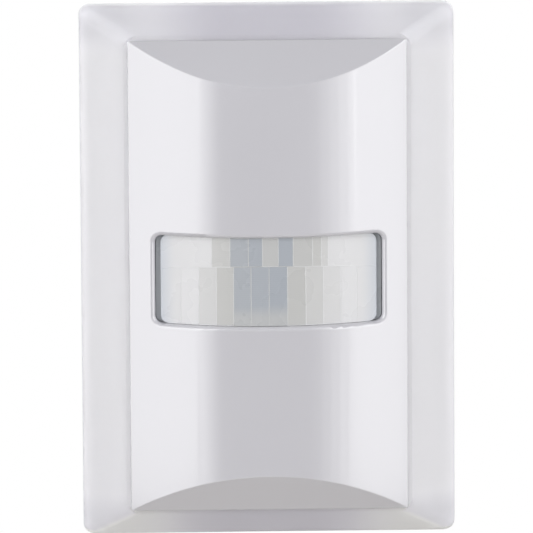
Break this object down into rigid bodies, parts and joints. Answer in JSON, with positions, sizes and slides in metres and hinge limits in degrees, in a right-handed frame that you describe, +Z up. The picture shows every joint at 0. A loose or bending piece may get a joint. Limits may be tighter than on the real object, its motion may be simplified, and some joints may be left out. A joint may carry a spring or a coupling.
{
  "type": "motion sensor light",
  "caption": "Plug-in motion sensor light: half-barrel cover with a segmented lens window in a frosted border, flat plug blades and a slide switch on the housing.",
  "frame": {"origin": "centre of the flat back that rests against the wall", "axes": "+Z up, +Y into the wall along the plug blades, +X to the right of somebody facing the front"},
  "size_m": [0.084, 0.0471, 0.1212],
  "materials": {
    "housing_white": "matte moulded white plastic",
    "label_paper": "satin silver-white sticker",
    "blade_metal": "polished nickel-plated brass",
    "holder_white": "matte white plastic",
    "screw_steel": "zinc-plated steel",
    "lead_black": "black insulated wire",
    "lead_white": "white insulated wire",
    "board_laminate": "buff laminate",
    "capacitor_yellow": "yellow moulded case",
    "capacitor_sleeve": "dark shrink sleeve",
    "moulded_black": "black moulding compound",
    "resistor_body": "pale blue lacquer",
    "varistor_blue": "blue epoxy",
    "chip_ceramic": "dark chip ceramic",
    "led_phosphor": "white package with yellow phosphor",
    "switch_case": "tinned steel",
    "knob_black": "matte black plastic",
    "spacer_white": "white plastic",
    "pir_metal": "bright nickel",
    "pir_filter": "dark infrared filter",
    "photocell_resin": "orange-brown cell",
    "shroud_white": "matte white plastic",
    "retainer_grey": "matte grey plastic",
    "lens_polyethylene": "milky translucent polyethylene",
    "reflector_white": "bright white plastic",
    "diffuser_frost": "frosted translucent plastic",
    "cover_white": "glossy white plastic"
  },
  "bodies": {
    "light": {"blade_holder": "holder_white", "board_screws": "screw_steel", "bridge_rectifier": "moulded_black", "chip_components": "chip_ceramic", "circuit_board": "board_laminate", "control_ic": "moulded_black", "diffuser_frame": "diffuser_frost", "edge_leds": "led_phosphor", "fresnel_lens": "lens_polyethylene", "front_cover": "cover_white", "fusible_resistor": "resistor_body", "holder_screws": "screw_steel", "housing_screws": "screw_steel", "lens_retainer": "retainer_grey", "line_blade": "blade_metal", "line_lead": "lead_black", "neutral_blade": "blade_metal", "neutral_lead": "lead_white", "photocell": "photocell_resin", "pir_can": "pir_metal", "pir_header": "pir_metal", "pir_spacer": "spacer_white", "pir_window": "pir_filter", "rating_label": "label_paper", "rear_housing": "housing_white", "reflector_frame": "reflector_white", "retainer_screws": "screw_steel", "sensor_shroud": "shroud_white", "smoothing_capacitor": "capacitor_sleeve", "surge_varistor": "varistor_blue", "switch_body": "switch_case", "timing_capacitor": "capacitor_sleeve", "voltage_regulator": "moulded_black", "x2_capacitor": "capacitor_yellow"},
    "switch_knob": {"switch_knob": "knob_black"}
  },
  "joints": [
    {"name": "mode_switch_slide", "type": "slide", "parent": "light", "child": "switch_knob", "axis": [0, 0, 1], "range_m": [-0.002, 0.002]}
  ]
}
